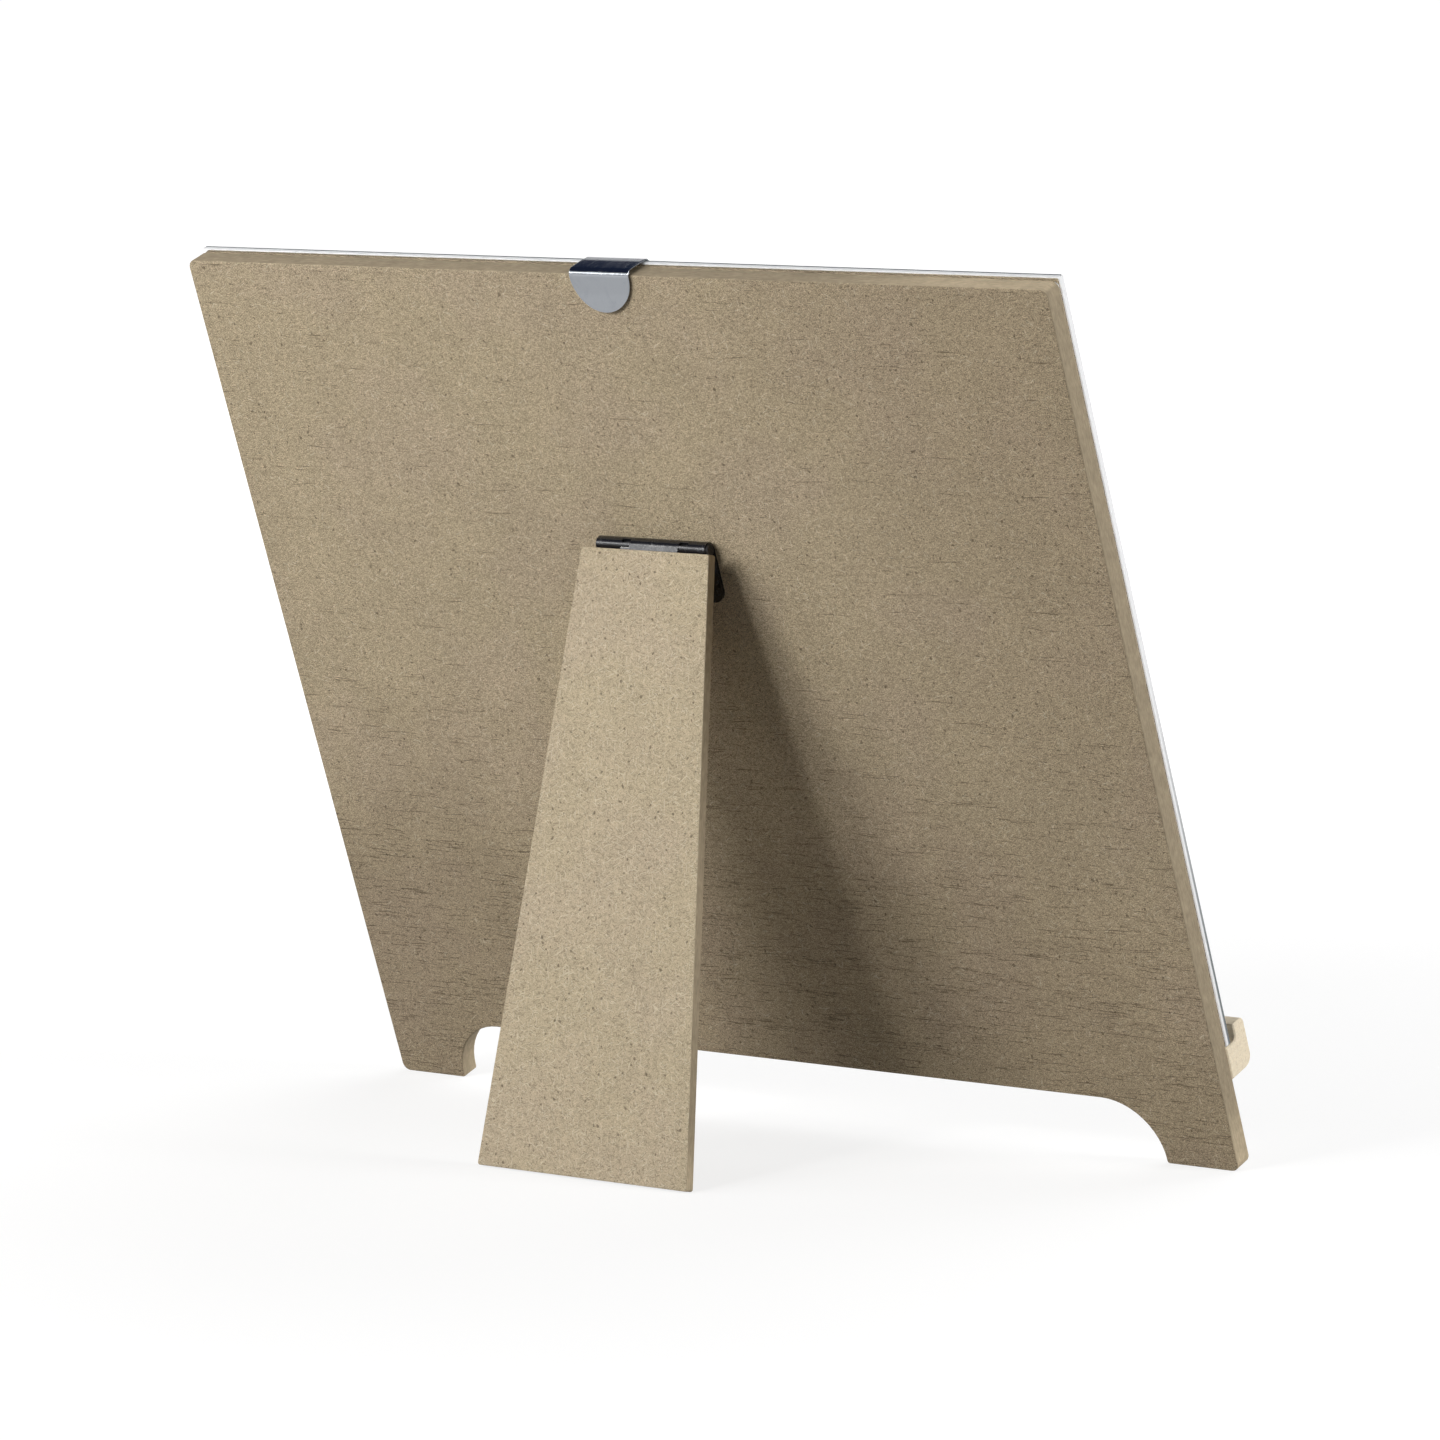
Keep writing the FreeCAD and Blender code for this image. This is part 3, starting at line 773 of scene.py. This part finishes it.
def bentClip(look):
    # one strip, bent round the top of board and glass, with a half-round tab behind
    corners = boardPlaces("spring_clip")
    low, high = spanOf(corners)
    line = clipLine(look, corners, low, high)
    middle, half = (low[0] + high[0]) / 2, (high[0] - low[0]) / 2
    steps, hook, strip, edge = look["endSteps"], look["hookCorner"], look["strip"], look["edge"]
    lengths = [0.0]
    for before, after in zip(line, line[1:]):
        lengths.append(lengths[-1] + (after[0] - before[0]).length)
    whole = lengths[-1]

    # stations along the strip: its half-round end, its bends, and its rounded hook corners
    turns = [math.radians(look["endTurn"]) * step / steps for step in range(steps + 1)]
    widths = {half * (1 - math.sin(turn)): half * math.cos(turn) for turn in turns}
    for turn in turns[::4]:
        widths[whole - hook * (1 - math.sin(turn))] = half - hook * (1 - math.cos(turn))
    stations = sorted(set(widths) | {s for s in lengths if half < s < whole - hook})

    def along(s):
        i = min(range(1, len(lengths)), key=lambda k: (lengths[k] < s, k))
        share = (s - lengths[i - 1]) / (lengths[i] - lengths[i - 1])
        (a, out), (b, outward) = line[i - 1], line[i]
        return a.lerp(b, share), out.lerp(outward, share).normalized()

    def section(width):
        # both sides of the strip with their eased edges, as (across, height over the inner line)
        inner, rim = max(width - edge * 3, width * 0.5), width - edge
        outer = [(-width, strip - edge), (-rim, strip), (-inner, strip), (inner, strip), (rim, strip),
                 (width, strip - edge)]
        return outer + [(x, strip - height) for x, height in reversed(outer)]

    rings = []
    for s in stations:
        place, out = along(s)
        rings.append([(middle + x, *(place + out * height)) for x, height in section(widths.get(s, half))])
    piece = loftedPiece("bentClip", rings, [springSteel(look)], 60)
    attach(piece, "clip")
    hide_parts("spring_clip")


bentClip(clip)
print("clip done")


# Black lacquered hinge, with its darkened pin and screws

hinge = {
    "lacquer": (0.012, 0.012, 0.014, 1),
    "bare": (0.42, 0.40, 0.37, 1),
    "smooth": 0.16,
    "dull": 0.34,
    "markSize": 500.0,
    "edgeWidth": 0.00012,
    "edgePatches": 900.0,
    "edgeAmount": 0.7,
    "peelScale": 1500.0,
    "bumpDepth": 0.000012,
}
darkSteel = {
    "oxide": (0.035, 0.034, 0.036, 1),
    "rubbed": (0.22, 0.21, 0.2, 1),
    "rubbedShare": 0.25,
    "mottleScale": 1800.0,
    "roughFrom": 0.3,
    "roughTo": 0.5,
    "edgeWidth": 0.0001,
    "edgePatches": 1200.0,
    "bumpDepth": 0.00001,
}


def blackLacquer(name, look, tilt):
    material, tree, shader = newMaterial(name, {"Specular IOR Level": 0.6})
    place = pieceSpace(tree, tilt)
    marks = useGroup(tree, marksGroup, {"Place": place, "Size": look["markSize"]})["Mask"]
    worn = useGroup(tree, edgeGroup, {
        "Place": place, "Width": look["edgeWidth"], "Patch Size": look["edgePatches"],
        "Amount": look["edgeAmount"]})["Mask"]
    fillInputs(tree, shader, {
        "Base Color": mixColors(tree, worn, look["lacquer"], look["bare"]),
        "Metallic": worn,
        "Roughness": fade(tree, marks, 0.0, 1.0, look["smooth"], look["dull"])})
    bumpInto(tree, shader, noise(tree, place, look["peelScale"], 1.0), look["bumpDepth"])
    return material


def rubbedSteel(name, look):
    material, tree, shader = newMaterial(name, {"Metallic": 0.9})
    place = pieceSpace(tree, boardLean)
    worn = useGroup(tree, edgeGroup, {
        "Place": place, "Width": look["edgeWidth"], "Patch Size": look["edgePatches"]})["Mask"]
    mottle = noise(tree, place, look["mottleScale"], 3.0)
    rubbed = fade(tree, mottle, 0.3, 0.7, 0.0, look["rubbedShare"])
    color = mixColors(tree, rubbed, look["oxide"], look["rubbed"])
    fillInputs(tree, shader, {
        "Base Color": mixColors(tree, worn, color, look["rubbed"]),
        "Roughness": fade(tree, mottle, 0.3, 0.7, look["roughFrom"], look["roughTo"])})
    bumpInto(tree, shader, mottle, look["bumpDepth"])
    return material


wear("hinge_board_leaf", blackLacquer("boardLeafLacquer", hinge, boardLean))
wear("hinge_strut_leaf", blackLacquer("strutLeafLacquer", hinge, strutTilt))
for name in ("hinge_pin", "board_leaf_screws", "strut_leaf_screws"):
    wear(name, rubbedSteel(name + "Steel", darkSteel))
print("hinge done")


# Floor, lamps, surroundings and camera

floor = {
    "half": 9.0,
    "tone": 0.3,
    "seenTone": 0.25,           # share of the lamps' light that the camera sees on it
    "seenLift": 0.78,           # its own white near the object, and further out
    "farLift": 1.0,
    "liftFrom": 0.2,
    "liftTo": 0.75,
}
# turn is from straight behind the board towards the left of the photograph
lamps = {
    "keyLamp": {"turn": 7.5, "rise": 29, "reach": 1.5, "wide": 0.26, "high": 0.26, "watts": 6.4},
    "nearLamp": {"turn": 24, "rise": 17, "reach": 1.2, "wide": 0.5, "high": 0.42, "watts": 5.8},
    "wideLamp": {"turn": 56, "rise": 18, "reach": 0.9, "wide": 0.55, "high": 0.35, "watts": 2.3},
    "rightLamp": {"turn": -100, "rise": 15, "reach": 1.5, "wide": 0.5, "high": 0.5, "watts": 13.0},
    "frontLamp": {"turn": 180, "rise": 35, "reach": 2.2, "wide": 3.0, "high": 2.4, "watts": 41.0,
                  "mirrored": False},       # lights the card, and isn't seen in the glass
}
surroundings = {
    "ambient": 0.06,
    "glossLow": (0.95, 0.95, 0.95, 1),      # what metal mirrors: a pale horizon under a dark ceiling
    "glossHigh": (0.028, 0.04, 0.08, 1),
    "darkFrom": 0.34,
    "darkTo": 0.55,
}
camera = {
    "place": (-0.983899, 1.260954, 0.318059),
    "azimuth": 217.735,
    "elevation": 7.862,
    "roll": 1.379,
    "lens": 179.975,
    "sensor": 36.0,
    "farthest": 100.0,
}


def seenRays(tree):
    # rays that show the background itself: straight to the camera, or off metal and through glass
    path = addNode(tree, "LightPath").outputs
    kinds = ("Is Camera Ray", "Is Glossy Ray", "Is Transmission Ray")
    return strongest(tree, [path[kind] for kind in kinds])


def makeFloor(look):
    half = look["half"]
    corners = [(-half, -half, 0), (half, -half, 0), (half, half, 0), (-half, half, 0)]
    mesh = bpy.data.meshes.new("floorPaper")
    mesh.from_pydata(corners, [], [(0, 1, 2, 3)])
    material, tree, shader = newMaterial("floorPaper", {"Roughness": 0.9, "Specular IOR Level": 0.0,
                                                        "Emission Color": gray(1.0)})
    seen = seenRays(tree)
    place = addNode(tree, "TexCoord").outputs["Object"]
    away = vectorCalc(tree, "LENGTH", place)["Value"]
    lift = fade(tree, away, look["liftFrom"], look["liftTo"], look["seenLift"], look["farLift"])
    fillInputs(tree, shader, {
        "Base Color": mixColors(tree, seen, gray(look["tone"]), gray(look["seenTone"])),
        "Emission Strength": times(tree, seen, lift)})
    mesh.materials.append(material)
    sheet = linkObject("floorPaper", mesh)


def heading(turn, rise):
    # turn in degrees from the +Y axis towards +X
    turn, rise = math.radians(turn), math.radians(rise)
    return Vector((math.sin(turn) * math.cos(rise), math.cos(turn) * math.cos(rise), math.sin(rise)))


def aim(thing, towards, roll=0.0):
    # lamps and cameras look along their own -Z
    thing.rotation_mode = "QUATERNION"
    thing.rotation_quaternion = towards.to_track_quat("Z", "Y") @ Quaternion((0, 0, 1), -math.radians(roll))


def makeLamp(name, look):
    data = bpy.data.lights.new(name, "AREA")
    data.shape = "ELLIPSE"
    data.size, data.size_y = look["wide"], look["high"]
    data.energy = look["watts"]
    lamp = linkObject(name, data)
    towards = heading(look["turn"], look["rise"])
    lamp.location = (cadBox[0] + cadBox[1]) / 2 + towards * look["reach"]
    lamp.visible_camera = False
    lamp.visible_glossy = lamp.visible_transmission = look.get("mirrored", True)
    aim(lamp, towards)


def makeSurroundings(look):
    world = bpy.data.worlds.new("studio")
    bpy.context.scene.world = world
    world.use_nodes = True
    tree = world.node_tree
    rise = parts(tree, addNode(tree, "TexCoord").outputs["Generated"])[2]
    ceiling = fade(tree, rise, look["darkFrom"], look["darkTo"])
    gloss = mixColors(tree, ceiling, look["glossLow"], look["glossHigh"])
    mirrored = addNode(tree, "LightPath").outputs["Is Glossy Ray"]
    shown = mixColors(tree, mirrored, gray(1.0), gloss)
    light = mixColors(tree, seenRays(tree), gray(look["ambient"]), shown)
    tree.links.new(light, tree.nodes["Background"].inputs["Color"])


def makeCamera(look):
    data = bpy.data.cameras.new("camera")
    data.lens, data.sensor_width, data.clip_end = look["lens"], look["sensor"], look["farthest"]
    viewer = linkObject("camera", data)
    aim(viewer, heading(180 - look["azimuth"], look["elevation"]), look["roll"])
    viewer.location = look["place"]
    bpy.context.scene.camera = viewer


makeFloor(floor)
for name, look in lamps.items():
    makeLamp(name, look)
makeSurroundings(surroundings)
makeCamera(camera)
bpy.context.scene.view_settings.view_transform = "Standard"
print("stage done")
